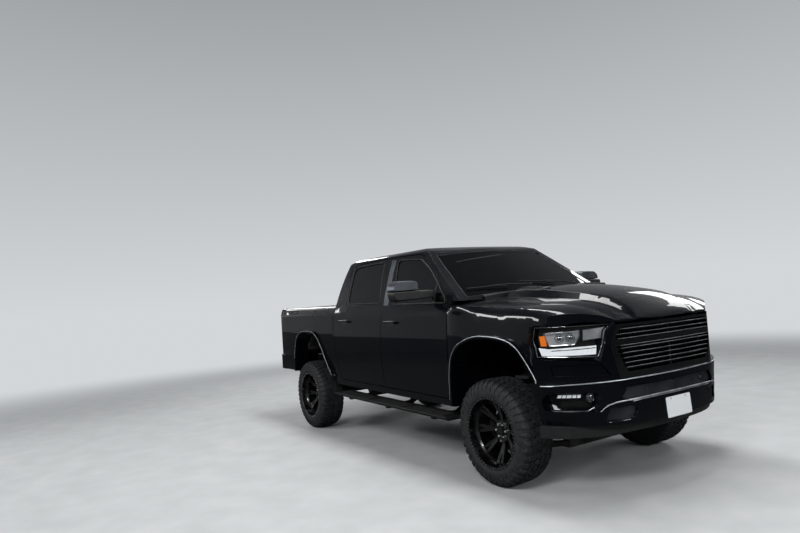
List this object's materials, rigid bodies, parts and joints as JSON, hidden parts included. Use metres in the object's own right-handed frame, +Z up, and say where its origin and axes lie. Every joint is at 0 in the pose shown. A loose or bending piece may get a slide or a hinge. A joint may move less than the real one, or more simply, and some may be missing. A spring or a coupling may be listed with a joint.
{
  "type": "pickup truck",
  "caption": "Lifted crew-cab four-wheel-drive pickup truck with a short open bed, domed hood, steered front wheels, opening doors, hood and tailgate, and deep-dish wheels on chunky mud tyres.",
  "frame": {"origin": "on the ground under the middle of the truck's overall length and width", "axes": "+X forward, +Y to the truck's left, +Z up"},
  "size_m": [5.9135, 2.7962, 2.1361],
  "materials": {
    "body_paint": "gloss",
    "cab_paint": "satin",
    "tinted_glass": "gloss",
    "lamp_lens": "gloss",
    "tail_lens": "gloss",
    "gloss_trim": "gloss",
    "mesh": "matte",
    "black_trim": "satin",
    "bed_coating": "matte",
    "frame_paint": "satin",
    "castings": "rough",
    "wheel_paint": "gloss",
    "tread": "matte",
    "pipe": "satin",
    "upholstery": "satin",
    "dash_plastic": "matte"
  },
  "bodies": {
    "chassis": {"roof": "body_paint", "cab_tub": "cab_paint", "cab_sides": "body_paint", "cab_glass": "tinted_glass", "fenders": "body_paint", "front_lamps": "lamp_lens", "front_fascia": "body_paint", "grille": "gloss_trim", "front_bumper": "body_paint", "bumper_inserts": "mesh", "air_dam": "black_trim", "bed_sides": "body_paint", "tail_lamps": "tail_lens", "bed_floor": "bed_coating", "rear_bumper": "body_paint", "frame_rails": "frame_paint", "engine_block": "castings", "driveline": "castings", "rear_axle": "frame_paint", "springs": "frame_paint", "front_arms": "frame_paint", "front_differential": "castings", "exhaust": "pipe", "fuel_tank": "black_trim", "running_boards": "black_trim", "seats": "upholstery", "dashboard": "dash_plastic"},
    "front_door_left_body": {"front_door_left": "body_paint", "front_door_glass_left": "tinted_glass", "mirror_left": "black_trim"},
    "front_door_right_body": {"front_door_right": "body_paint", "front_door_glass_right": "tinted_glass", "mirror_right": "black_trim"},
    "rear_door_left_body": {"rear_door_left": "body_paint", "rear_door_glass_left": "tinted_glass"},
    "rear_door_right_body": {"rear_door_right": "body_paint", "rear_door_glass_right": "tinted_glass"},
    "hood_body": {"hood": "body_paint"},
    "tailgate_body": {"tailgate": "body_paint"},
    "knuckle_left_body": {"knuckle_left": "castings"},
    "knuckle_right_body": {"knuckle_right": "castings"},
    "front_wheel_left_body": {"front_wheel_left": "wheel_paint", "front_tyre_left": "tread"},
    "front_wheel_right_body": {"front_wheel_right": "wheel_paint", "front_tyre_right": "tread"},
    "rear_wheel_left_body": {"rear_wheel_left": "wheel_paint", "rear_tyre_left": "tread"},
    "rear_wheel_right_body": {"rear_wheel_right": "wheel_paint", "rear_tyre_right": "tread"}
  },
  "joints": [
    {"name": "front_door_left_hinge", "type": "hinge", "parent": "chassis", "child": "front_door_left_body", "pos_m": [1.36777, 1.003, 1.01014], "axis": [-0.0175, 0, -0.9998], "range_deg": [0, 65]},
    {"name": "rear_door_left_hinge", "type": "hinge", "parent": "chassis", "child": "rear_door_left_body", "pos_m": [0.16596, 1.003, 1.03112], "axis": [-0.0175, 0, -0.9998], "range_deg": [0, 65]},
    {"name": "front_door_right_hinge", "type": "hinge", "parent": "chassis", "child": "front_door_right_body", "pos_m": [1.36777, -1.003, 1.01014], "axis": [0.0175, 0, 0.9998], "range_deg": [0, 65]},
    {"name": "rear_door_right_hinge", "type": "hinge", "parent": "chassis", "child": "rear_door_right_body", "pos_m": [0.16596, -1.003, 1.03112], "axis": [0.0175, 0, 0.9998], "range_deg": [0, 65]},
    {"name": "hood_hinge", "type": "hinge", "parent": "chassis", "child": "hood_body", "pos_m": [1.63246, 0, 1.5056], "axis": [0, -1, 0], "range_deg": [0, 45]},
    {"name": "tailgate_hinge", "type": "hinge", "parent": "chassis", "child": "tailgate_body", "pos_m": [-2.81855, 0, 1.02821], "axis": [0, -1, 0], "range_deg": [0, 90]},
    {"name": "steer_left", "type": "hinge", "parent": "chassis", "child": "knuckle_left_body", "pos_m": [1.94382, 0.77, 0.435], "axis": [0, 0, 1], "range_deg": [-33, 33]},
    {"name": "steer_right", "type": "hinge", "parent": "chassis", "child": "knuckle_right_body", "pos_m": [1.94382, -0.77, 0.435], "axis": [0, 0, 1], "range_deg": [-33, 33]},
    {"name": "front_wheel_left_spin", "type": "hinge", "parent": "knuckle_left_body", "child": "front_wheel_left_body", "pos_m": [1.94382, 0.905, 0.435], "axis": [0, 1, 0], "continuous": true},
    {"name": "rear_wheel_left_spin", "type": "hinge", "parent": "chassis", "child": "rear_wheel_left_body", "pos_m": [-1.72818, 0.905, 0.435], "axis": [0, 1, 0], "continuous": true},
    {"name": "front_wheel_right_spin", "type": "hinge", "parent": "knuckle_right_body", "child": "front_wheel_right_body", "pos_m": [1.94382, -0.905, 0.435], "axis": [0, 1, 0], "continuous": true},
    {"name": "rear_wheel_right_spin", "type": "hinge", "parent": "chassis", "child": "rear_wheel_right_body", "pos_m": [-1.72818, -0.905, 0.435], "axis": [0, 1, 0], "continuous": true}
  ],
  "couplings": [
    {"joint": "steer_right", "follows": "steer_left", "ratio": 1}
  ]
}
